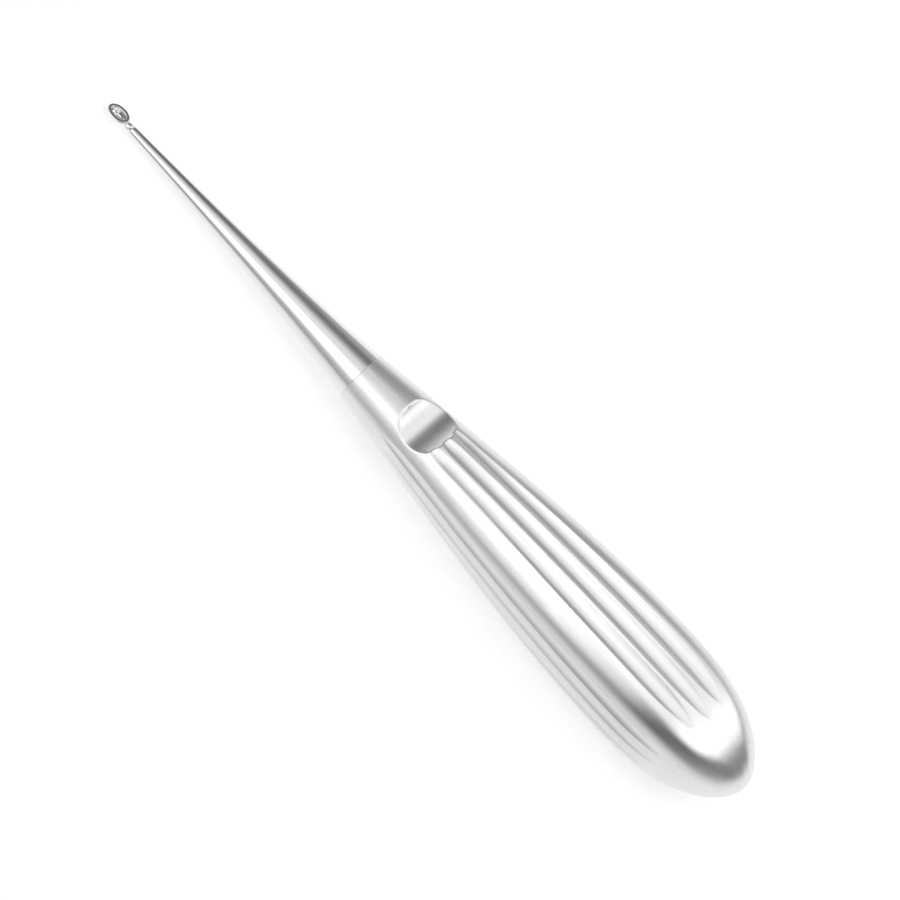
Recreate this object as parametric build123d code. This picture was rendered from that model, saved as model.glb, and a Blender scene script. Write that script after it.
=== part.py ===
from build123d import *
from math import asin, atan2, copysign, cos, degrees, hypot, pi, radians, sin, sqrt
import os

# Sizes in millimetres. The tool is drawn along its own axis, X, with the tip of the cup at x = 0
# and its mouth facing up, +Z. It is laid down on its belly and its cup at the end.

# Stem
stem_length = 68.0
stem_nose_radius = 0.95
stem_middle_radius = 2.57
stem_nose_slope = 0.045

# Cup and neck
cup_length = 4.9
cup_width = 3.05
cup_depth = 1.9
cup_wall = 0.75
cup_bowl_depth = 1.2
cup_rim_height = 0.9
cup_rim_rounding = 0.22
cup_nod = radians(8)
neck_length = 1.0
neck_rise = 0.1
neck_root_radius = 0.4
neck_waist_radius = 0.65
neck_foot_radius = 0.81
neck_foot_overlap = 0.3

# Handle
handle_length = 103.0
handle_mouth_radius = 5.25
handle_half_width = 10.75
belly_from_mouth = 75.0
belly_squareness = 4.97
handle_wall = 1.2
face_half_angle = radians(5.5)
butt_fullness = 2.5
butt_cap_share = 0.985
front_sections = 6
butt_sections = 8

# Socket in the handle's mouth, and the tang that fills it
tang_radius = 4.0
tang_length = 8.0
socket_clearance = 0.03
socket_end_gap = 0.5
tang_lead = 0.4
seam_break = 0.12
seam_tool_size = 0.6
socket_overlap = 0.01

# Thumb scoop, a hollow as of a round bar laid across the top
scoop_radius = 7.6
scoop_depth = 1.72
scoop_from_mouth = 14.5
scoop_tool_length = 40.0

# Flutes, with their sizes at the belly; they narrow with the handle
flutes_per_face = 3
flute_pitch = 4.15
flute_land = 0.35
flute_radius = 3.6
flute_start_from_mouth = 11.0
flute_start_run = 10.0
scooped_flute_start = 17.5
scooped_flute_run = 6.0
flute_butt_margin = 12.8
flute_side_setback = 1.0
flute_butt_run = 12.0
cutter_overrun = 2.0
cutter_sections = 25

butt_length = handle_length - belly_from_mouth
mouth_slope = 1.5 * (handle_half_width - handle_mouth_radius) / belly_from_mouth


def width_rise(along):
    """Rise of the handle's half width from its mouth (0) to its belly (1)."""
    return 1.5 * along - 0.5 * along**3


def half_width(x, inset=0.0):
    """Half the width across the flats of the handle, at x from its mouth."""
    if x <= belly_from_mouth:
        rise = (handle_half_width - handle_mouth_radius) * width_rise(x / belly_from_mouth)
        return handle_mouth_radius + rise - inset
    along = min((x - belly_from_mouth) / (butt_length - inset), 1.0)
    return (handle_half_width - inset) * sqrt(1.0 - along**butt_fullness)


def crown_ratio(x, inset=0.0):
    """Crown radius of a face over the half width: 1 is a round section, more is squarer."""
    if x <= belly_from_mouth:
        return 1.0 + belly_squareness * width_rise(x / belly_from_mouth)
    along = (x - belly_from_mouth) / (butt_length - inset)
    return 1.0 + belly_squareness * (1.0 - (along / butt_cap_share)**4)


def section_sizes(x, inset=0.0):
    """Half width, crown radius and corner radius of the handle's section, and its corners' centre."""
    width = half_width(x, inset)
    crown = width * crown_ratio(x, inset)
    corner = crown - (crown - width) / (cos(face_half_angle) - sin(face_half_angle))
    return width, crown, corner, (crown - corner) * sin(face_half_angle)


def face_point(x, across):
    """Height of the bare top face this far from its middle, and how far its normal leans there."""
    width, crown, corner, middle = section_sizes(x)
    if abs(across) <= crown * sin(face_half_angle):
        lean = asin(across / crown)
        return width - crown + crown * cos(lean), lean
    lean = copysign(asin((abs(across) - middle) / corner), across)
    return middle + corner * cos(lean), lean


def turned(point, quarter):
    """A point of a section, turned by quarter turns about the axis."""
    across, up = point
    for _ in range(quarter):
        across, up = up, -across
    return (across, up)


def section_wire(x, inset=0.0):
    """Section of the handle: four crowned faces with a round corner between each two."""
    width, crown, corner, middle = section_sizes(x, inset)
    face_end = (crown * sin(face_half_angle), width - crown + crown * cos(face_half_angle))
    face_start = (-face_end[0], face_end[1])
    corner_top = middle + corner * sin(pi / 4)
    edges = []
    for quarter in range(4):
        face = [turned(p, quarter) for p in (face_start, (0.0, width), face_end)]
        bend = [turned(p, quarter) for p in (face_end, (corner_top, corner_top), face_end[::-1])]
        edges += [ThreePointArc(*face), ThreePointArc(*bend)]
    wire = Wire(edges)
    return Plane(origin=(x, 0, 0), x_dir=(0, 1, 0), z_dir=(1, 0, 0)) * wire


def handle_form(start, inset=0.0):
    """Body of the handle from start to its butt, drawn in by inset all round."""
    stations = [start + (belly_from_mouth - start) * k / front_sections for k in range(front_sections)]
    for k in range(butt_sections):
        turn = asin(butt_cap_share) * k / (butt_sections - 1)
        stations.append(belly_from_mouth + (butt_length - inset) * sin(turn))
    body = Solid.make_loft([section_wire(x, inset) for x in stations])
    return body + butt_cap(stations[-1], inset)


def butt_cap(x, inset=0.0):
    """Ball-shaped cap that carries the handle's outline on from x to the end."""
    width = half_width(x, inset)
    fall = (handle_half_width - inset)**2 * butt_fullness * butt_cap_share**(butt_fullness - 1)
    slope = fall / (2 * width * (butt_length - inset))
    centre = x - width * slope
    radius = width * sqrt(1 + slope**2)
    half = atan2(width, x - centre) / 2
    bend = ThreePointArc(
        (x, 0, width), (centre + radius * cos(half), 0, radius * sin(half)), (centre + radius, 0, 0))
    outline = Face(Wire([bend, Line((centre + radius, 0, 0), (x, 0, 0)), Line((x, 0, 0), (x, 0, width))]))
    return Solid.revolve(outline, 360, Axis.X)


def eased(share):
    """Rises from 0 at share 0 to 1 at share 1, level there; falls on below 0."""
    if share >= 1.0:
        return 1.0
    return 1.0 - (1.0 - share)**2 if share > 0.0 else 2.0 * share


def flute_cutter(lane, start, run):
    """Round tapered cutter of one flute in the top face, deepening from start; lane 0 is the middle."""
    tip = handle_length - flute_butt_margin - flute_side_setback * abs(lane)
    first = start - cutter_overrun
    last = tip + cutter_overrun
    circles = []
    for k in range(cutter_sections):
        x = first + (last - first) * (1.0 - cos(pi * k / (cutter_sections - 1))) / 2.0
        share = half_width(x) / handle_half_width
        radius = flute_radius * share
        half = (flute_pitch - flute_land) * share / 2.0
        depth = radius - sqrt(radius**2 - half**2)
        depth *= eased((x - start) / run) * eased((tip - x) / flute_butt_run)
        across = lane * flute_pitch * share
        height, lean = face_point(x, across)
        reach = radius - depth
        centre = (x, across + reach * sin(lean), height + reach * cos(lean))
        circles.append(Plane(origin=centre, x_dir=(0, 1, 0), z_dir=(1, 0, 0)) * Wire.make_circle(radius))
    return Solid.make_loft(circles)


def cut_flutes(body):
    """Cuts the flutes of all four faces; those of the top face begin at the thumb scoop."""
    for lane in range(flutes_per_face):
        lane -= (flutes_per_face - 1) / 2
        body -= flute_cutter(lane, scooped_flute_start, scooped_flute_run)
        cutter = flute_cutter(lane, flute_start_from_mouth, flute_start_run)
        for quarter in (1, 2, 3):
            body -= cutter.rotate(Axis.X, 90 * quarter)
    return body


def make_handle():
    """Hollow handle, with its mouth at x = 0."""
    body = cut_flutes(handle_form(0.0))
    scoop_axis_height = half_width(scoop_from_mouth) - scoop_depth + scoop_radius
    scoop_place = Pos(scoop_from_mouth, 0, scoop_axis_height) * Rot(90, 0, 0)
    body -= scoop_place * Cylinder(scoop_radius, scoop_tool_length)
    hollow_start = tang_length + socket_end_gap
    hollow = handle_form(hollow_start, handle_wall)
    hollow -= scoop_place * Cylinder(scoop_radius + handle_wall, scoop_tool_length)
    socket = Pos(hollow_start / 2, 0, 0) * Rot(0, 90, 0) * Cylinder(
        tang_radius + socket_clearance, hollow_start + 2 * socket_overlap)
    lip = handle_mouth_radius - seam_break + seam_tool_size
    groove = Polyline(
        (-seam_tool_size, 0, lip - 2 * seam_tool_size), (-seam_tool_size, 0, lip),
        (seam_tool_size, 0, lip), close=True)
    body -= Solid.revolve(Face(Wire(groove.edges())), 360, Axis.X)
    return body - hollow - socket


def make_cup():
    """Oval cup with a thick rim, mouth up and nodding a little to its tip."""
    above = Pos(0, 0, cup_depth) * Box(2 * cup_length, 2 * cup_width, 2 * cup_depth)
    outer = scale(Sphere(1.0), by=(cup_length / 2, cup_width / 2, cup_depth)) - above
    inner = scale(
        Sphere(1.0), by=(cup_length / 2 - cup_wall, cup_width / 2 - cup_wall, cup_bowl_depth))
    cup = outer - inner
    rim = cup.faces().sort_by(Axis.Z)[-1]
    cup = fillet(rim.edges(), cup_rim_rounding)
    return Pos(cup_length / 2, 0, cup_rim_height) * Rot(0, -degrees(cup_nod), 0) * cup


def make_neck():
    """Short neck that rises from the shaft's nose to the back of the cup."""
    root = (cup_length - cup_wall, neck_rise, neck_root_radius)
    waist = (cup_length, neck_rise, neck_waist_radius)
    foot = (cup_length + neck_length + neck_foot_overlap, 0.0, neck_foot_radius)
    rings = []
    for x, height, radius in (root, waist, foot):
        ring = Wire.make_circle(radius)
        rings.append(Plane(origin=(x, 0, height), x_dir=(0, 1, 0), z_dir=(1, 0, 0)) * ring)
    return Solid.make_loft(rings)


def make_shaft():
    """Conical shaft from its round nose to its shoulder, with the tang beyond."""
    nose_start = cup_length + neck_length
    nose_end = nose_start + stem_nose_radius
    nose_middle = stem_nose_radius * sin(pi / 4)
    rim_start = stem_length - seam_break
    rim_radius = handle_mouth_radius - seam_break * mouth_slope
    tang_end = stem_length + tang_length
    nose = ThreePointArc(
        (nose_start, 0, 0), (nose_end - nose_middle, 0, nose_middle), (nose_end, 0, stem_nose_radius))
    swell = Spline(
        (nose_end, 0, stem_nose_radius),
        ((nose_end + stem_length) / 2, 0, stem_middle_radius),
        (rim_start, 0, rim_radius),
        tangents=[(1, 0, stem_nose_slope), (1, 0, mouth_slope)])
    rest = Polyline(
        (rim_start, 0, rim_radius),
        (stem_length, 0, handle_mouth_radius - seam_break),
        (stem_length, 0, tang_radius),
        (tang_end - tang_lead, 0, tang_radius),
        (tang_end, 0, tang_radius - tang_lead),
        (tang_end, 0, 0),
        (nose_start, 0, 0))
    outline = Face(Wire([*nose.edges(), *swell.edges(), *rest.edges()]))
    return Solid.revolve(outline, 360, Axis.X)


def laid_down(pieces):
    """The pieces turned to rest on cup and belly, with the middle of their base at the origin."""
    cup_middle = cup_length / 2
    cup_drop = hypot(cup_length / 2 * sin(cup_nod), cup_depth * cos(cup_nod)) - cup_rim_height
    tilt = 0.0
    for k in range(1, 100):
        x = belly_from_mouth * k / 99
        tilt = max(tilt, atan2(half_width(x) - cup_drop, stem_length + x - cup_middle))
    pieces = [piece.rotate(Axis.Y, -degrees(tilt)) for piece in pieces]
    boxes = [piece.bounding_box() for piece in pieces]
    middle = (min(box.min.X for box in boxes) + max(box.max.X for box in boxes)) / 2
    lowest = min(box.min.Z for box in boxes)
    return [piece.moved(Pos(-middle, 0, -lowest)) for piece in pieces]


stem = make_cup() + make_neck() + make_shaft()
handle = Pos(stem_length, 0, 0) * make_handle()
stem, handle = laid_down([stem.solid(), handle.solid()])

os.makedirs("parts", exist_ok=True)
export_step(stem, "parts/curette_stem.step")
export_step(handle, "parts/hollow_handle.step")
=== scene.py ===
from math import asin, atan2, cos, hypot, pi, radians, sin, sqrt

import bpy
from mathutils import Matrix, Vector


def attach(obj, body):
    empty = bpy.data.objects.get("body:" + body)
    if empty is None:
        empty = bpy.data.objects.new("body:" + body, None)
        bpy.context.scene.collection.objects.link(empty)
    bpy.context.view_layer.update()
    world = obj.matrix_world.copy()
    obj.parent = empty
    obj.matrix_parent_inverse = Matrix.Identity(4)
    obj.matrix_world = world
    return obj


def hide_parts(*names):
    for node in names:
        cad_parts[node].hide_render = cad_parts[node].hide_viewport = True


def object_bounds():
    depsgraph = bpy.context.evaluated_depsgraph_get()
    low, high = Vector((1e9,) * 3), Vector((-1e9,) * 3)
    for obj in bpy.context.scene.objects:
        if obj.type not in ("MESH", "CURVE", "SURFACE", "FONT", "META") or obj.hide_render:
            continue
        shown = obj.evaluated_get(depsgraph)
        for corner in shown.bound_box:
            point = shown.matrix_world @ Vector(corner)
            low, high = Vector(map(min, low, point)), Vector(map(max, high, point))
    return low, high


bl_info = {
    "name": "Bone curette",
    "version": (1, 0, 0),
    "blender": (4, 5, 0),
    "location": "View3D > Sidebar > Curette",
    "description": "Builds a hollow-handled bone curette, its finishes and a small studio",
    "category": "Object",
}

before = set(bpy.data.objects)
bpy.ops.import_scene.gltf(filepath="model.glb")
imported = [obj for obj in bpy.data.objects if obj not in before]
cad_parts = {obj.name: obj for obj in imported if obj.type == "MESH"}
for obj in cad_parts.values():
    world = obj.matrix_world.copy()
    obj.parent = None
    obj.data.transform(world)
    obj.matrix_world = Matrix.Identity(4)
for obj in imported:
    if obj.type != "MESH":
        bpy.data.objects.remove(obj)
cad_box = [list(corner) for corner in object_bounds()]

MM = 0.001
BLACK = (0.0, 0.0, 0.0, 1.0)

# Shape
MOUTH_SLOPE = 1.5  # of the half width's rise from mouth (0) to belly (1), level at the belly
CROWN_POWER = 4  # with which the faces of the butt get rounder
REST_SAMPLES = 99
REST_ROUNDS = 3
ROOT_IN_WALL, ROOT_RADIUS = 0.9, 0.62  # shares of the cup's wall and of the neck's radius
WAIST_ALONG, WAIST_RISE = 0.1, 0.8  # shares of the neck's length and of its rise
FOOT_ALONG, FOOT_RADIUS = 1.3, 0.85  # shares of the neck's length and of the nose's radius

# Density of the meshes
FLUTE_EDGE = 0.12 * MM
FLUTE_LINES, CORNER_LINES = 11, 12
LEAST_FLUTE = 0.3  # width of a shallow flute's lines, as a share of the flute's
LEAST_SOFTNESS = 0.05  # share of the flutes' softness that is left at the butt
HANDLE_STEP, SCOOP_STEP, BELLY_STEP = 0.5 * MM, 0.12 * MM, 0.4 * MM
SCOOP_REACH = 0.76  # half the scoop's length, as a share of its radius
EVEN_PAST_BELLY = 14 * MM
BUTT_RINGS, BALL_RINGS = 30, 10
OUT_OF_REACH = 1.0
NOSE_RINGS, SPAN_RINGS, SHAFT_LINES = 12, 60, 128
BACK_RINGS, RIM_RINGS, BOWL_RINGS, CUP_LINES = 24, 8, 20, 96
NECK_RINGS, NECK_LINES = 16, 48
SHARP_ANGLE = radians(40)

# Grain of the steel: length and width of its marks, and detail of the noise
FINE_GRAIN = (9 * MM, 0.11 * MM, 3.0)
BROAD_GRAIN = (40 * MM, 0.7 * MM, 2.0)
CLOUDS = (9 * MM, 6 * MM, 4.0)
FINE_MARKS, BROAD_MARKS = (0.5, 0.8), (0.35, 0.7)  # noise at which marks begin and are full
MARK_DARKNESS = 0.05
ROUGHNESS_SPREAD = 0.10
GRAIN_DEPTH = 0.02 * MM
POLISHED_GRAIN, SATIN_GRAIN = (0.15, 0.6), (0.3, 1.0)  # strength of the relief and of the marks

# Camera and floor
PICTURE_WIDTH = 900
SENSOR_WIDTH = 36.0
CLIP_NEAR, CLIP_FAR = 0.01, 20.0
FLOOR_REACH = 3

# Light from far away: the studio value that gives its strength and a factor, its lean off the
# zenith towards the near side in degrees and that edge's softness, the x of its direction and
# that edge's softness
FAR_LIGHTS = (
    ("front_glow", 1.0, (-15, 66), 22, (-0.75, -0.13), 0.05),
    ("front_panel", 1.0, (20, 60), 9, (-0.75, -0.11), 0.04),
    ("far_glow", 1.0, (-130, -58), 20, (-2.0, -0.225), 0.03),
    ("far_glow", 1.0, (-130, -74), 14, (-0.225, 2.0), 0.03),
    ("far_glow", 0.8, (-90, -52), 9, (-0.1, 0.7), 0.03),
    ("near_glow", 1.0, (58, 130), 10, (-2.0, -0.05), 0.05),
    ("near_glow", 1.7, (62, 106), 10, (-2.0, -0.305), 0.015),
    ("near_glow", 0.8, (58, 130), 10, (0.3, 2.0), 0.08),
)
TIP_END, TIP_FACTOR = (-0.9, -0.6), 1.8
BUTT_END = (0.6, 0.85)
SKY_STRENGTH = 0.8

# Panels close to the tool: name, the studio value that gives the strength, and in millimetres
# their spans in x, y and z and how soft their edges are
CLOSE_PANELS = (
    ("overhead_panel", "overhead", ((-138, 420), (-130, 480), (400, 400)), (50, 120)),
    ("mouth_panel", "mouth_panel", ((-135, -50), (-100, 400), (400, 400)), (35, 60)),
    ("end_panel", "end_panel", ((170, 400), (-230, 560), (400, 400)), (50, 50)),
    ("near_panel", "near_panel", ((-112, -20), (-400, -400), (20, 260)), (26, 30)),
)


def length(name, description, millimetres):
    """A length that a user can change, shown in the scene's units."""
    return bpy.props.FloatProperty(
        name=name, description=description, default=millimetres * MM, min=0.0, unit="LENGTH",
        subtype="DISTANCE", precision=5)


def share(name, description, value, high=1.0):
    """A plain number that a user can change."""
    return bpy.props.FloatProperty(
        name=name, description=description, default=value, min=0.0, max=high, subtype="FACTOR")


def angle(name, description, degrees):
    """An angle that a user can change."""
    return bpy.props.FloatProperty(
        name=name, description=description, default=radians(degrees), unit="ROTATION",
        subtype="ANGLE")


def colour(name, description, value):
    """A colour that a user can change."""
    return bpy.props.FloatVectorProperty(
        name=name, description=description, default=value, min=0.0, max=1.0, size=3,
        subtype="COLOR")


class StemSizes(bpy.types.PropertyGroup):
    stem_length: length("Stem length", "Tip of the cup to the handle's mouth", 67.975)
    nose_radius: length("Nose radius", "Radius of the shaft behind the neck", 0.95)
    nose_reach: length("Nose reach", "Length of the shaft's rounded nose", 0.45)
    middle_radius: length("Middle radius", "Radius of the shaft half way along", 2.57)
    nose_slope: share("Nose slope", "How fast the shaft widens behind the neck", 0.045)
    cup_length: length("Cup length", "Length of the oval cup", 4.9)
    cup_width: length("Cup width", "Width of the oval cup", 3.05)
    cup_depth: length("Cup depth", "Depth of the cup's back", 1.9)
    cup_wall: length("Cup wall", "Width of the cup's rim", 0.75)
    bowl_depth: length("Bowl depth", "Depth of the hollow inside the cup", 1.2)
    rim_height: length("Rim height", "Height of the rim above the shaft's axis", 0.9)
    rim_rounding: length("Rim rounding", "Radius of the rim's edges", 0.22)
    cup_nod: angle("Cup nod", "How far the tip of the cup dips", 8.0)
    neck_length: length("Neck length", "Gap between cup and shaft", 1.0)
    neck_radius: length("Neck radius", "Radius of the neck at its waist", 0.72)
    neck_rise: length("Neck rise", "Height of the neck's root above the axis", 0.1)
    tang_radius: length("Tang radius", "Radius of the tang in the handle's mouth", 4.0)
    tang_length: length("Tang length", "How far the tang reaches into the handle", 8.0)
    tang_lead: length("Tang lead", "Bevel on the end of the tang", 0.4)


class HandleSizes(bpy.types.PropertyGroup):
    handle_length: length("Handle length", "Mouth to butt", 103.0)
    mouth_radius: length("Mouth radius", "Radius of the round mouth", 5.25)
    belly_half_width: length("Belly half width", "Half the width across the flats", 10.75)
    belly_from_mouth: length("Belly from mouth", "Where the handle is widest", 75.0)
    squareness: share("Squareness", "How much flatter than round the faces are", 4.97, 9.0)
    face_half_angle: angle("Face half angle", "Turn of a face from its middle to its corner", 5.5)
    butt_fullness: share("Butt fullness", "Power of the butt's outline", 2.5, 4.0)
    cap_share: share("Cap share", "Where the butt's outline becomes a ball", 0.985)
    socket_radius: length("Socket radius", "Radius of the bore for the tang", 4.03)
    socket_depth: length("Socket depth", "Depth of the bore for the tang", 8.5)
    seam_break: length("Seam break", "Bevel on each side of the seam", 0.05)
    scoop_radius: length("Scoop radius", "Radius of the thumb scoop along the handle", 7.6)
    scoop_depth: length("Scoop depth", "Depth of the thumb scoop", 1.72)
    scoop_from_mouth: length("Scoop from mouth", "Middle of the thumb scoop", 14.5)
    scoop_softness: length("Scoop softness", "Rounding of the scoop's edge", 0.09)
    flute_pitch: length("Flute pitch", "Distance between flutes at the belly", 4.15)
    flute_land: length("Flute land", "Width of the crest between flutes", 0.35)
    flute_radius: length("Flute radius", "Radius of a flute's floor at the belly", 3.6)
    flute_softness: length("Flute softness", "Rounding of a flute's edges", 0.05)
    flute_start: length("Flute start", "Where the flutes begin, from the mouth", 11.0)
    flute_start_run: length("Flute start run", "Length over which they deepen", 10.0)
    scooped_start: length("Scooped start", "Where the flutes begin under the scoop", 17.5)
    scooped_run: length("Scooped run", "Length over which those deepen", 6.0)
    flute_butt_margin: length("Flute butt margin", "Tip of the middle flute to the butt", 12.8)
    flute_setback: length("Flute setback", "How much sooner the outer flutes end", 1.0)
    flute_butt_run: length("Flute butt run", "Length over which they run out", 12.0)


class FinishValues(bpy.types.PropertyGroup):
    polished_colour: colour("Polished steel", "Colour of the stem", (0.80, 0.80, 0.80))
    satin_colour: colour("Satin steel", "Colour of the handle", (0.78, 0.78, 0.78))
    polished_roughness: share("Polished roughness", "Roughness of the stem", 0.17)
    satin_roughness: share("Satin roughness", "Roughness of the handle", 0.31)


class StudioValues(bpy.types.PropertyGroup):
    view_elevation: angle("View elevation", "Height of the camera over the horizon", 64.0)
    view_roll: angle("View roll", "Slope of the tool in the picture", 47.08)
    lens: share("Lens", "Focal length in millimetres", 1000.0, 2000.0)
    pixels_per_metre: share("Scale", "Pixels to a metre of tool", 5471.0, 9000.0)
    aim_along: length("Aim along", "Middle of the picture, along the tool from its tip", 89.0)
    aim_across: length("Aim across", "Middle of the picture, to the far side of the axis", 2.75)
    front_panel: share("Front panel", "Strength of the narrow panel over the near side", 1.2, 5.0)
    front_glow: share("Front glow", "Strength of the wide glow round it", 0.8, 5.0)
    overhead: share("Overhead", "Strength of the panel over the handle", 1.0, 5.0)
    mouth_panel: share("Mouth panel", "Strength of the panel over the handle's mouth", 0.35, 5.0)
    end_panel: share("End panel", "Strength of the panel past the butt", 1.2, 5.0)
    near_panel: share("Near panel", "Strength of the low panel on the near side", 0.9, 5.0)
    far_glow: share("Far glow", "Strength of the light low on the far side", 0.62, 5.0)
    near_glow: share("Near glow", "Strength of the light low on the near side", 0.24, 5.0)
    end_glow: share("End glow", "Strength of the light low at the ends", 0.18, 5.0)
    room: share("Room", "Strength of the light from everywhere", 0.10, 5.0)
    floor_colour: colour("Floor", "Colour of the paper on the table", (0.90, 0.90, 0.90))
    floor_glow: share("Floor glow", "What the camera sees the paper brighter by", 0.38)
    # Painted reflection of the paper in the steel: its brightness next to the tool, its brightness
    # far in front of it, and how far in front it fades from one to the other
    painted_reflection_near: share("Floor mirrored", "Brightness of the paper in the steel", 1.1, 2.0)
    painted_reflection_far: share("Floor far", "The same, far in front of the tool", 0.35, 2.0)
    painted_reflection_fade: length("Floor fade", "How far in front of the tool that fades", 45.0)


GROUPS = {
    "curette_stem": StemSizes,
    "curette_handle": HandleSizes,
    "curette_finish": FinishValues,
    "curette_studio": StudioValues,
}


def settings(name):
    """The scene's values of one property group."""
    return getattr(bpy.context.scene, name)


# Shape of the handle, with x from its mouth


def width_rise(along):
    """Rise of the half width from the mouth (0) to the belly (1)."""
    return MOUTH_SLOPE * along - (MOUTH_SLOPE - 1) * along**3


def half_width(x):
    """Half the width across the flats."""
    h = settings("curette_handle")
    if x <= h.belly_from_mouth:
        rise = (h.belly_half_width - h.mouth_radius) * width_rise(x / h.belly_from_mouth)
        return h.mouth_radius + rise
    along = (x - h.belly_from_mouth) / (h.handle_length - h.belly_from_mouth)
    if along <= h.cap_share:
        return h.belly_half_width * sqrt(1.0 - along**h.butt_fullness)
    centre, radius = butt_ball()
    return sqrt(max(radius**2 - (x - centre)**2, 0.0))


def butt_ball():
    """Centre and radius of the ball that closes the butt."""
    h = settings("curette_handle")
    butt = h.handle_length - h.belly_from_mouth
    x = h.belly_from_mouth + butt * h.cap_share
    width = h.belly_half_width * sqrt(1.0 - h.cap_share**h.butt_fullness)
    fall = h.belly_half_width**2 * h.butt_fullness * h.cap_share**(h.butt_fullness - 1)
    slope = fall / (2 * width * butt)
    return x - width * slope, width * sqrt(1 + slope**2)


def crown_radius(x):
    """Radius of the crowned faces: the half width itself where the handle is round."""
    h = settings("curette_handle")
    if x <= h.belly_from_mouth:
        return half_width(x) * (1.0 + h.squareness * width_rise(x / h.belly_from_mouth))
    along = (x - h.belly_from_mouth) / (h.handle_length - h.belly_from_mouth)
    flatness = 1.0 - min(along / h.cap_share, 1.0)**CROWN_POWER
    return half_width(x) * (1.0 + h.squareness * flatness)


def eased(along):
    """Rises from 0 to 1, level at 1, and falls on below 0."""
    if along >= 1.0:
        return 1.0
    return 1.0 - (1.0 - along)**2 if along > 0.0 else 2.0 * along


def blended_top(a, b, softness):
    """The larger of two numbers, rounded over where they meet."""
    near = max(softness - abs(a - b), 0.0) / softness
    return max(a, b) + near * near * softness / 4


class Section:
    """Cross-section of one face of the handle at x, with flutes that deepen from start."""

    def __init__(self, x, start, run):
        h = settings("curette_handle")
        self.width = half_width(x)
        self.crown = crown_radius(x)
        self.turn = h.face_half_angle
        spread = cos(self.turn) - sin(self.turn)
        self.corner = self.crown - (self.crown - self.width) / spread
        self.middle = (self.crown - self.corner) * sin(self.turn)
        self.softness = h.flute_softness
        self.share = self.width / h.belly_half_width
        self.radius = h.flute_radius * self.share
        half = (h.flute_pitch - h.flute_land) * self.share / 2
        self.flutes = []
        for lane in (-1, 0, 1):
            tip = h.handle_length - h.flute_butt_margin - h.flute_setback * abs(lane)
            ease = eased((x - start) / run)
            ease *= eased((tip - x) / h.flute_butt_run) if tip > x or ease > 0 else 1.0
            depth = (self.radius - sqrt(self.radius**2 - half**2)) * ease
            middle = lane * h.flute_pitch * self.share
            lean = self.lean(middle)
            y, z = self.bare(lean)
            reach = self.radius - depth
            centre = (y + reach * sin(lean), z + reach * cos(lean))
            reached = half * max(sqrt(max(ease, 0.0)), LEAST_FLUTE)
            self.flutes.append((middle, reached, centre, depth > -half))

    def lean(self, across):
        """Normal's turn from the face's middle at a point this far across."""
        across = max(-self.middle - self.corner, min(self.middle + self.corner, across))
        if abs(across) <= self.crown * sin(self.turn):
            return asin(across / self.crown)
        side = 1.0 if across > 0 else -1.0
        return side * asin(min((abs(across) - self.middle) / self.corner, 1.0))

    def turns(self):
        """Turns of the normal at which the face gets its lines, thick at each flute's edges."""
        found = []
        zone = FLUTE_EDGE * self.share
        lines = (-zone, -zone / 3, zone / 3, zone)
        for middle, half, _, _ in self.flutes:
            inner = half - zone
            found += [middle - half + line for line in lines]
            found += [
                middle + inner * (2.0 * k / FLUTE_LINES - 1.0) for k in range(1, FLUTE_LINES)]
            found += [middle + half + line for line in lines]
        leans = [self.lean(y) for y in found]
        last = leans[-1]
        gap = pi / 2 - 2 * last
        return leans + [last + gap * k / CORNER_LINES for k in range(1, CORNER_LINES)]

    def bare(self, lean):
        """Point of the bare face whose normal is turned this far."""
        if abs(lean) <= self.turn:
            return self.crown * sin(lean), self.width - self.crown + self.crown * cos(lean)
        side = 1.0 if lean > 0 else -1.0
        return side * self.middle + self.corner * sin(lean), self.middle + self.corner * cos(lean)

    def point(self, lean):
        """Point of the fluted surface whose bare normal is turned this far."""
        across, up = sin(lean), cos(lean)
        y, z = self.bare(lean)
        cut = -1.0
        for _, _, centre, cuts in self.flutes:
            if cuts:
                v = (y - centre[0], z - centre[1])
                inward = v[0] * across + v[1] * up
                reach = inward * inward - v[0]**2 - v[1]**2 + self.radius**2
                if reach > 0.0:
                    cut = max(cut, inward + sqrt(reach))
        cut = blended_top(cut, 0.0, self.softness * max(self.share, LEAST_SOFTNESS))
        return y - cut * across, z - cut * up


def outline(x, start, run):
    """Points across one face at x, whose flutes deepen from start."""
    section = Section(x, start, run)
    return [section.point(lean) for lean in section.turns()]


def stations(breaks):
    """Places from breaks of (place, step): evenly spaced up to each next place."""
    found = [breaks[0][0]]
    for (start, step), (end, _) in zip(breaks, breaks[1:]):
        count = max(1, round((end - start) / step))
        found += [start + (end - start) * (k + 1) / count for k in range(count)]
    return found


def handle_stations():
    """Places along the handle at which it gets a ring."""
    h = settings("curette_handle")
    belly = h.belly_from_mouth
    scoop_start = h.scoop_from_mouth - SCOOP_REACH * h.scoop_radius
    scoop_end = h.scoop_from_mouth + SCOOP_REACH * h.scoop_radius
    found = stations([
        (0.0, h.seam_break / 3), (h.seam_break * 2, HANDLE_STEP), (scoop_start, SCOOP_STEP),
        (scoop_end, HANDLE_STEP), (belly, BELLY_STEP), (belly + EVEN_PAST_BELLY, BELLY_STEP)])
    butt = h.handle_length - belly
    first, last = asin(EVEN_PAST_BELLY / butt), asin(h.cap_share)
    turns = [first + (last - first) * k / BUTT_RINGS for k in range(1, BUTT_RINGS + 1)]
    found += [belly + butt * sin(turn) for turn in turns]
    centre, radius = butt_ball()
    half = atan2(half_width(found[-1]), found[-1] - centre)
    found += [centre + radius * cos(half * (1 - k / BALL_RINGS)) for k in range(1, BALL_RINGS)]
    return found


# Laying the tool down


def belly_places():
    """Places along the front of the handle, from its mouth to its belly."""
    belly = settings("curette_handle").belly_from_mouth
    return [belly * k / REST_SAMPLES for k in range(1, REST_SAMPLES + 1)]


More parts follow.
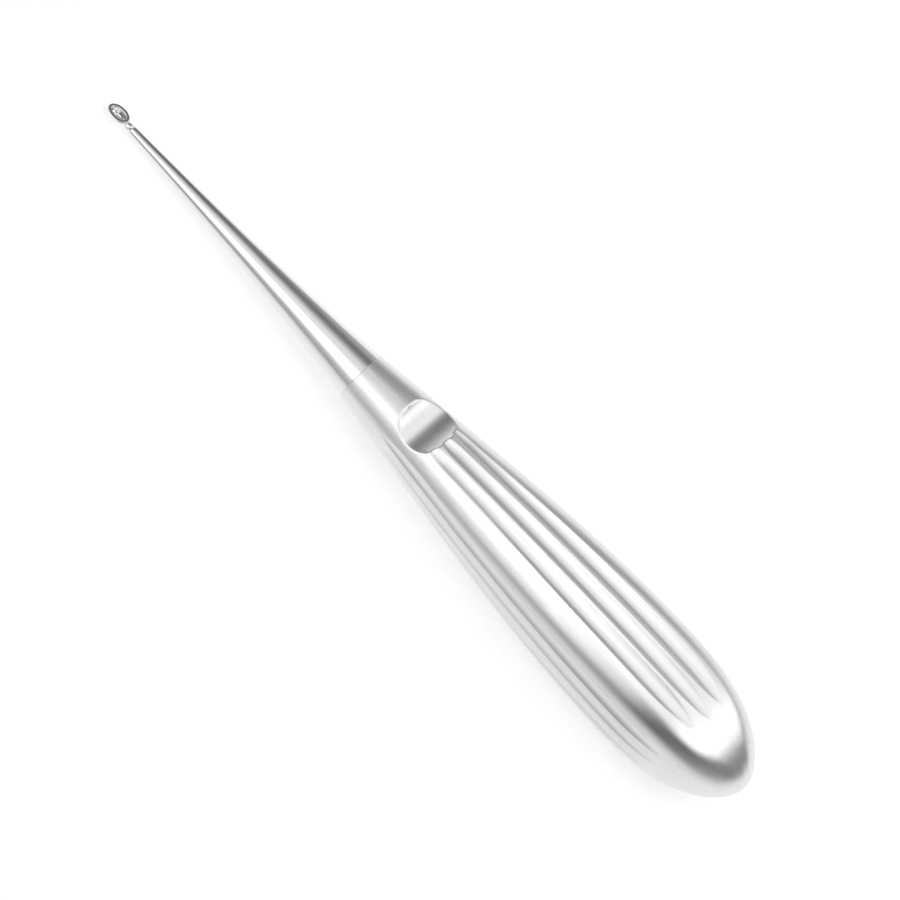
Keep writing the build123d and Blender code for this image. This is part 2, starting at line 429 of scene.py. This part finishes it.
def cup_drop(tilt):
    """How far the cup reaches below the tool's axis when that slopes by tilt."""
    s = settings("curette_stem")
    dip = s.cup_nod + tilt
    return hypot(s.cup_length / 2 * sin(dip), s.cup_depth * cos(dip)) - s.rim_height


def resting_tilt():
    """Slope of the tool's axis as it rests on its cup and its belly."""
    s = settings("curette_stem")
    tilt = 0.0
    for _ in range(REST_ROUNDS):
        drop = cup_drop(tilt)
        tilt = max(
            atan2(half_width(x) - drop, s.stem_length + x - s.cup_length / 2)
            for x in belly_places())
    return tilt


def resting_place():
    """Turns what is drawn along X from the cup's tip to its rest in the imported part's place."""
    tilt = resting_tilt()
    s = settings("curette_stem")
    stem = s.stem_length
    centre, radius = butt_ball()
    lowest = min((stem + x) * sin(tilt) - half_width(x) * cos(tilt) for x in belly_places())
    lowest = min(lowest, s.cup_length / 2 * sin(tilt) - cup_drop(tilt))
    end =(stem + centre) * cos(tilt) + radius
    shift = Matrix.Translation((cad_box[1][0] - end, 0.0, cad_box[0][2] - lowest))
    return shift @ Matrix.Rotation(-tilt, 4, "Y")


def rings_to_faces(count, rings):
    """Quads between rings of equal count."""
    faces = []
    for r in range(rings - 1):
        a, b = r * count, (r + 1) * count
        for k in range(count):
            n = (k + 1) % count
            faces.append((a + k, a + n, b + n, b + k))
    return faces


def cap(first, count, tip):
    """Triangles from the ring that starts at first to the point tip."""
    return [(first + k, first + (k + 1) % count, tip) for k in range(count)]


def ring(x, radius, count, height=0.0):
    """Points round the axis, or round a line that high above it."""
    turns = [2 * pi * k / count for k in range(count)]
    return [(x, radius * sin(turn), height + radius * cos(turn)) for turn in turns]


def new_piece(name, points, faces, node):
    """A smooth-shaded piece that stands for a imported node."""
    mesh = bpy.data.meshes.new(name)
    mesh.from_pydata(points, [], faces)
    mesh.validate()
    mesh.transform(resting_place())
    mesh.shade_smooth()
    mesh.set_sharp_from_angle(angle=SHARP_ANGLE)
    piece = bpy.data.objects.new(name, mesh)
    bpy.context.scene.collection.objects.link(piece)
    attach(piece, "root")
    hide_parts(node)
    return piece


def handle_mesh():
    """Points and faces of the handle: outside from mouth to butt, then the bore."""
    h = settings("curette_handle")
    points, rings = [], 0
    scoop_axis = half_width(h.scoop_from_mouth) - h.scoop_depth + h.scoop_radius
    for x in handle_stations():
        faces_round = [outline(x, h.scooped_start, h.scooped_run)]
        faces_round += [outline(x, h.flute_start, h.flute_start_run)] * 3
        reach = h.scoop_radius**2 - (x - h.scoop_from_mouth)**2
        ceiling = scoop_axis - sqrt(reach) if reach > 0.0 else OUT_OF_REACH
        chamfer = h.mouth_radius - h.seam_break + x
        for quarter, face in enumerate(faces_round):
            for y, z in face:
                for _ in range(quarter):
                    y, z = z, -y
                radius = hypot(y, z)
                if radius > chamfer:
                    y, z = y * chamfer / radius, z * chamfer / radius
                if z > 0.0:
                    z = -blended_top(-z, -ceiling, h.scoop_softness)
                points.append((x, y, z))
        rings += 1
    count = len(points) // rings
    faces = rings_to_faces(count, rings)
    faces += cap((rings - 1) * count, count, len(points))
    centre, radius = butt_ball()
    points.append((centre + radius, 0.0, 0.0))
    bore = len(points)
    for x, radius in ((0.0, h.socket_radius), (h.socket_depth, h.socket_radius)):
        for k in range(count):
            y, z = points[k][1:]
            scale = radius / hypot(y, z)
            points.append((x, y * scale, z * scale))
    points.append((h.socket_depth, 0.0, 0.0))
    for k in range(count):
        n = (k + 1) % count
        faces.append((bore + k, bore + n, n, k))
        faces.append((bore + count + k, bore + count + n, bore + n, bore + k))
        faces.append((len(points) - 1, bore + count + n, bore + count + k))
    return points, faces


# Shape of the stem, with x from the tip of the cup


def shaft_profile():
    """Places and radii along the shaft, which flows on into the handle, and its tang."""
    s, h = settings("curette_stem"), settings("curette_handle")
    nose_start = s.cup_length + s.neck_length
    profile = []
    for k in range(1, NOSE_RINGS + 1):
        turn = pi / 2 * k / NOSE_RINGS
        profile.append((nose_start + s.nose_reach * (1 - cos(turn)), s.nose_radius * sin(turn)))
    start = nose_start + s.nose_reach
    end = s.stem_length - h.seam_break
    slope = MOUTH_SLOPE * (h.belly_half_width - h.mouth_radius) / h.belly_from_mouth
    rim = h.mouth_radius - h.seam_break * slope
    run = (end - start) / 2
    middle_slope = (3 * (rim - s.nose_radius) / run - s.nose_slope - slope) / 4
    spans = (
        (start, s.nose_radius, s.nose_slope, s.middle_radius, middle_slope),
        (start + run, s.middle_radius, middle_slope, rim, slope))
    for x, low, low_slope, high, high_slope in spans:
        for k in range(1, SPAN_RINGS + 1):
            t = k / SPAN_RINGS
            radius = (1 + 2 * t) * (1 - t)**2 * low + t * (1 - t)**2 * run * low_slope
            radius += t * t * (3 - 2 * t) * high + t * t * (t - 1) * run * high_slope
            profile.append((x + run * t, radius))
    tang_end = s.stem_length + s.tang_length
    profile += [
        (s.stem_length, h.mouth_radius - h.seam_break), (s.stem_length, s.tang_radius),
        (tang_end - s.tang_lead, s.tang_radius), (tang_end, s.tang_radius - s.tang_lead)]
    return profile


def shaft_mesh():
    """Points and faces of the shaft, closed at its nose and its tang."""
    s = settings("curette_stem")
    profile = shaft_profile()
    points = [point for x, radius in profile for point in ring(x, radius, SHAFT_LINES)]
    faces = rings_to_faces(SHAFT_LINES, len(profile))
    faces += [face[::-1] for face in cap(0, SHAFT_LINES, len(points))]
    faces += cap((len(profile) - 1) * SHAFT_LINES, SHAFT_LINES, len(points) + 1)
    points += [(s.cup_length + s.neck_length, 0.0, 0.0), (profile[-1][0], 0.0, 0.0)]
    return points, faces


def cup_mesh():
    """Points and faces of the oval cup, from its back round the rim into its bowl."""
    s = settings("curette_stem")
    rounding = s.rim_rounding
    outer = (s.cup_length / 2, s.cup_width / 2)
    inner = (outer[0] - s.cup_wall, outer[1] - s.cup_wall)
    rings = []
    reach = asin(min(rounding / s.cup_depth, 1.0))
    for k in range(1, BACK_RINGS + 1):
        turn = -pi / 2 + (pi / 2 - reach) * k / BACK_RINGS
        rings.append((outer[0] * cos(turn), outer[1] * cos(turn), s.cup_depth * sin(turn)))
    for k in range(1, RIM_RINGS + 1):
        turn = pi / 2 * k / RIM_RINGS
        inset = rounding * (1 - cos(turn))
        rings.append((outer[0] - inset, outer[1] - inset, rounding * (sin(turn) - 1)))
    for k in range(RIM_RINGS + 1):
        turn = pi / 2 * k / RIM_RINGS
        out = rounding * (1 - sin(turn))
        rings.append((inner[0] + out, inner[1] + out, rounding * (cos(turn) - 1)))
    reach = asin(min(rounding / s.bowl_depth, 1.0))
    for k in range(1, BOWL_RINGS):
        turn = reach + (pi / 2 - reach) * k / BOWL_RINGS
        rings.append((inner[0] * cos(turn), inner[1] * cos(turn), -s.bowl_depth * sin(turn)))
    points = []
    for long, wide, height in rings:
        turns = [2 * pi * k / CUP_LINES for k in range(CUP_LINES)]
        points += [(long * cos(turn), wide * sin(turn), height) for turn in turns]
    faces = rings_to_faces(CUP_LINES, len(rings))
    faces += [face[::-1] for face in cap(0, CUP_LINES, len(points))]
    faces += cap((len(rings) - 1) * CUP_LINES, CUP_LINES, len(points) + 1)
    points += [(0.0, 0.0, -s.cup_depth), (0.0, 0.0, -s.bowl_depth)]
    placed = Matrix.Translation((s.cup_length / 2, 0.0, s.rim_height))
    placed @= Matrix.Rotation(-s.cup_nod, 4, "Y")
    return [tuple(placed @ Vector(p)) for p in points], faces


def neck_mesh():
    """Points and faces of the neck between cup and shaft."""
    s = settings("curette_stem")
    spots = (
        (s.cup_length - ROOT_IN_WALL * s.cup_wall, s.neck_rise, ROOT_RADIUS * s.neck_radius),
        (s.cup_length + WAIST_ALONG * s.neck_length, WAIST_RISE * s.neck_rise, s.neck_radius),
        (s.cup_length + FOOT_ALONG * s.neck_length, 0.0, FOOT_RADIUS * s.nose_radius))
    split = (spots[1][0] - spots[0][0]) / (spots[2][0] - spots[0][0])
    points = []
    for step in range(NECK_RINGS + 1):
        t = step / NECK_RINGS
        root = (1 - t) * (split - t) / split
        waist = t * (1 - t) / (split * (1 - split))
        foot = t * (t - split) / (1 - split)
        x, height, radius = (root * a + waist * b + foot * c for a, b, c in zip(*spots))
        points += ring(x, radius, NECK_LINES, height)
    faces = rings_to_faces(NECK_LINES, NECK_RINGS + 1)
    faces.append(tuple(range(NECK_LINES))[::-1])
    faces.append(tuple(NECK_RINGS * NECK_LINES + k for k in range(NECK_LINES)))
    return points, faces


# Shader trees


class Signal:
    """A shader socket; arithmetic on it adds Math nodes."""

    def __init__(self, shader, socket):
        self.shader = shader
        self.socket = socket

    def maths(self, operation, other):
        return self.shader.node("ShaderNodeMath", {"operation": operation}, {0: self, 1: other})

    def __add__(self, other):
        return self.maths("ADD", other)

    def __sub__(self, other):
        return self.maths("SUBTRACT", other)

    def __rsub__(self, other):
        return (self * -1.0) + other

    def __mul__(self, other):
        return self.maths("MULTIPLY", other)

    def __truediv__(self, other):
        return self.maths("DIVIDE", other)

    def __rtruediv__(self, other):
        return self.shader.node("ShaderNodeMath", {"operation": "DIVIDE"}, {0: other, 1: self})

    __radd__ = __add__

    def risen(self, low, high):
        """0 below low, 1 above high and smooth between."""
        return self.shader.node(
            "ShaderNodeMapRange", {"interpolation_type": "SMOOTHSTEP"},
            {"Value": self, "From Min": low, "From Max": high})

    def within(self, low, high, soft):
        """1 between low and high, smooth over soft on both sides."""
        return self.risen(low - soft, low + soft) * (1.0 - self.risen(high - soft, high + soft))


class Shader:
    """A material's or world's node tree."""

    def __init__(self, owner):
        owner.use_nodes = True
        self.tree = owner.node_tree
        self.tree.nodes.clear()

    def node(self, kind, options=None, sockets=None, output=0):
        """One node with its options and its sockets' values or links; gives its output."""
        made = self.tree.nodes.new(kind)
        for name, value in (options or {}).items():
            setattr(made, name, value)
        for name, value in (sockets or {}).items():
            if isinstance(value, Signal):
                self.tree.links.new(value.socket, made.inputs[name])
            else:
                made.inputs[name].default_value = value
        return Signal(self, made.outputs[output]) if len(made.outputs) else made

    def split(self, vector):
        """The three numbers of a vector."""
        parts = self.node("ShaderNodeSeparateXYZ", None, {0: vector}).socket.node
        return [Signal(self, output) for output in parts.outputs]

    def grain(self, long, wide, detail):
        """Noise whose marks are this long along the tool and this wide across it."""
        place = self.node("ShaderNodeTexCoord", output="Object")
        turned = self.node(
            "ShaderNodeMapping", {"vector_type": "POINT"},
            {"Vector": place, "Rotation": (0.0, resting_tilt(), 0.0)})
        stretched = self.node(
            "ShaderNodeVectorMath", {"operation": "MULTIPLY"},
            {0: turned, 1: (1 / long, 1 / wide, 1 / wide)})
        return self.node(
            "ShaderNodeTexNoise", None, {"Vector": stretched, "Scale": 1.0, "Detail": detail})


def steel(name, base, roughness, relief, marks):
    """Stainless steel with lines along the tool, from the strength of its relief and marks."""
    material = bpy.data.materials.new(name)
    s = Shader(material)
    fine, broad, cloud = s.grain(*FINE_GRAIN), s.grain(*BROAD_GRAIN), s.grain(*CLOUDS)
    spread = ROUGHNESS_SPREAD * marks
    rough = roughness + (fine - 0.5) * spread + (cloud - 0.5) * spread
    darkness = MARK_DARKNESS * marks
    shade = 1.0 - (broad.risen(*BROAD_MARKS) * darkness + fine.risen(*FINE_MARKS) * darkness)
    # A Mix node's sockets: 0 the factor, 2 and 3 its numbers, 6 and 7 its colours
    paint = s.node(
        "ShaderNodeMix", {"data_type": "RGBA"}, {0: shade, 6: BLACK, 7: (*base, 1.0)}, output=2)
    bump = s.node(
        "ShaderNodeBump", None,
        {"Strength": relief, "Distance": GRAIN_DEPTH, "Height": fine + broad * 0.5})
    surface = s.node(
        "ShaderNodeBsdfPrincipled", None,
        {"Base Color": paint, "Roughness": rough, "Metallic": 1.0, "Normal": bump})
    s.node("ShaderNodeOutputMaterial", None, {"Surface": surface})
    return material


class CURETTE_OT_stem(bpy.types.Operator):
    """Builds the stem: cup, neck, shaft and tang"""
    bl_idname = "curette.stem"
    bl_label = "Stem"

    def execute(self, context):
        finish = settings("curette_finish")
        points, faces = [], []
        for made, joined in (shaft_mesh(), neck_mesh(), cup_mesh()):
            first = len(points)
            points += made
            faces += [tuple(first + k for k in face) for face in joined]
        piece = new_piece("stem", points, faces, "curette_stem")
        piece.data.materials.append(
            steel(
                "polished_steel", finish.polished_colour, finish.polished_roughness,
                *POLISHED_GRAIN))
        return {"FINISHED"}


class CURETTE_OT_handle(bpy.types.Operator):
    """Builds the fluted hollow handle with its thumb scoop"""
    bl_idname = "curette.handle"
    bl_label = "Handle"

    def execute(self, context):
        finish = settings("curette_finish")
        points, faces = handle_mesh()
        stem = settings("curette_stem").stem_length
        points = [(x + stem, y, z) for x, y, z in points]
        piece = new_piece("handle", points, faces, "hollow_handle")
        piece.data.materials.append(
            steel("satin_steel", finish.satin_colour, finish.satin_roughness, *SATIN_GRAIN))
        return {"FINISHED"}


class CURETTE_OT_studio(bpy.types.Operator):
    """Builds the floor, the soft panels and the camera"""
    bl_idname = "curette.studio"
    bl_label = "Studio"

    def execute(self, context):
        self.lay_floor()
        self.light()
        for name, value, spans, soft in CLOSE_PANELS:
            self.hang(name, getattr(settings("curette_studio"), value), spans, soft)
        self.aim()
        return {"FINISHED"}

    def lay_floor(self):
        values = settings("curette_studio")
        mesh = bpy.data.meshes.new("floor")
        corners = ((-1, -1), (1, -1), (1, 1), (-1, 1))
        corners = [(x * FLOOR_REACH, y * FLOOR_REACH, 0) for x, y in corners]
        mesh.from_pydata(corners, [], [(0, 1, 2, 3)])
        floor = bpy.data.objects.new("floor", mesh)
        bpy.context.scene.collection.objects.link(floor)
        material = bpy.data.materials.new("floor_paper")
        s = Shader(material)
        place = s.split(s.node("ShaderNodeTexCoord", output="Object"))
        seen = s.node("ShaderNodeLightPath", output="Is Camera Ray")
        mirrored = s.node("ShaderNodeLightPath", output="Is Glossy Ray")
        paper = s.node(
            "ShaderNodeBsdfDiffuse", None, {"Color": (*values.floor_colour, 1.0)})
        glow = s.node("ShaderNodeEmission", None, {"Color": seen, "Strength": values.floor_glow})
        plain = s.node("ShaderNodeAddShader", None, {0: paper, 1: glow})
        # Painted reflection: glossy rays see the paper as a glow instead of lit paper. The glow is
        # bright next to and behind the tool and fades to a darker level far in front of it
        near = (place[1] * -1.0).maths("MAXIMUM", 0.0) / values.painted_reflection_fade
        fade = near * near + 1.0
        level = values.painted_reflection_far + (values.painted_reflection_near - values.painted_reflection_far) / fade
        painted_floor_reflection = s.node("ShaderNodeEmission", None, {"Color": level})
        both = s.node("ShaderNodeMixShader", None, {0: mirrored, 1: plain, 2: painted_floor_reflection})
        s.node("ShaderNodeOutputMaterial", None, {"Surface": both})
        mesh.materials.append(material)

    def light(self):
        """The world's light, which the camera sees as one pale grey."""
        values = settings("curette_studio")
        world = bpy.data.worlds.new("studio_light")
        bpy.context.scene.world = world
        s = Shader(world)
        way = s.split(s.node("ShaderNodeTexCoord", output="Generated"))
        lean = (way[1] * -1.0).maths("ARCTAN2", way[2]) * (180 / pi)
        light = values.room
        for name, factor, leans, lean_soft, alongs, along_soft in FAR_LIGHTS:
            shape = lean.within(*leans, lean_soft) * way[0].within(*alongs, along_soft)
            light = shape * (getattr(values, name) * factor) + light
        light += (1.0 - way[0].risen(*TIP_END)) * (values.end_glow * TIP_FACTOR)
        light += way[0].risen(*BUTT_END) * values.end_glow
        seen = s.node("ShaderNodeLightPath", output="Is Camera Ray")
        shown = s.node("ShaderNodeMix", {"data_type": "FLOAT"}, {0: seen, 2: light, 3: 1.0})
        sky = s.node("ShaderNodeBackground", None, {"Color": shown, "Strength": SKY_STRENGTH})
        s.node("ShaderNodeOutputWorld", None, {"Surface": sky})

    def hang(self, name, strength, spans, soft):
        """A soft-edged panel, flat in one of x, y and z, that lets the light behind it through."""
        spans = [[value * MM for value in span] for span in spans]
        wide = [axis for axis, span in enumerate(spans) if span[0] != span[1]]
        points = []
        for ends in ((0, 0), (0, 1), (1, 1), (1, 0)):
            point = [low for low, _ in spans]
            for axis, end, edge in zip(wide, ends, soft):
                point[axis] = spans[axis][end] + edge * MM * (2 * end - 1)
            points.append(point)
        mesh = bpy.data.meshes.new(name)
        mesh.from_pydata(points, [], [(0, 1, 2, 3)])
        panel = bpy.data.objects.new(name, mesh)
        panel.visible_camera = False
        bpy.context.scene.collection.objects.link(panel)
        material = bpy.data.materials.new(name)
        s = Shader(material)
        place = s.split(s.node("ShaderNodeTexCoord", output="Object"))
        glow = 1.0
        for axis, edge in zip(wide, soft):
            glow = place[axis].within(*spans[axis], edge * MM) * glow
        lit = s.node("ShaderNodeEmission", None, {"Color": glow, "Strength": strength})
        clear = s.node("ShaderNodeBsdfTransparent")
        both = s.node("ShaderNodeAddShader", None, {0: clear, 1: lit})
        s.node("ShaderNodeOutputMaterial", None, {"Surface": both})
        mesh.materials.append(material)

    def aim(self):
        values = settings("curette_studio")
        back = Vector((0.0, -cos(values.view_elevation), sin(values.view_elevation)))
        tilt = resting_tilt()
        axis = Vector((cos(tilt), 0.0, sin(tilt)))
        along = (axis - back * axis.dot(back)).normalized()
        across = back.cross(along)
        roll = values.view_roll
        right = along * cos(roll) + across * sin(roll)
        up = across * cos(roll) - along * sin(roll)
        data = bpy.data.cameras.new("camera")
        data.lens = values.lens
        data.sensor_width = SENSOR_WIDTH
        data.clip_start, data.clip_end = CLIP_NEAR, CLIP_FAR
        away = PICTURE_WIDTH * values.lens / SENSOR_WIDTH / values.pixels_per_metre
        target = resting_place() @ Vector((values.aim_along, 0.0, 0.0))
        target += across * values.aim_across
        camera = bpy.data.objects.new("camera", data)
        camera.matrix_world = Matrix.Translation(target + back * away) @ Matrix(
            (right, up, back)).transposed().to_4x4()
        bpy.context.scene.collection.objects.link(camera)
        bpy.context.scene.camera = camera


OPERATORS = (CURETTE_OT_stem, CURETTE_OT_handle, CURETTE_OT_studio)


class CURETTE_PT_panel(bpy.types.Panel):
    bl_label = "Bone curette"
    bl_idname = "CURETTE_PT_panel"
    bl_space_type = "VIEW_3D"
    bl_region_type = "UI"
    bl_category = "Curette"

    def draw(self, context):
        for operator in OPERATORS:
            self.layout.operator(operator.bl_idname)
        for name, group in GROUPS.items():
            box = self.layout.box()
            box.label(text=name.replace("_", " ").capitalize())
            for field in group.__annotations__:
                box.prop(getattr(context.scene, name), field)


CLASSES = (*GROUPS.values(), *OPERATORS, CURETTE_PT_panel)


def register():
    for cls in CLASSES:
        bpy.utils.register_class(cls)
    for name, group in GROUPS.items():
        setattr(bpy.types.Scene, name, bpy.props.PointerProperty(type=group))


def unregister():
    for name in GROUPS:
        delattr(bpy.types.Scene, name)
    for cls in reversed(CLASSES):
        bpy.utils.unregister_class(cls)


def main():
    register()
    bpy.context.scene.view_settings.view_transform = "Standard"
    bpy.ops.curette.stem()
    bpy.ops.curette.handle()
    bpy.ops.curette.studio()


if __name__ == "__main__":
    main()
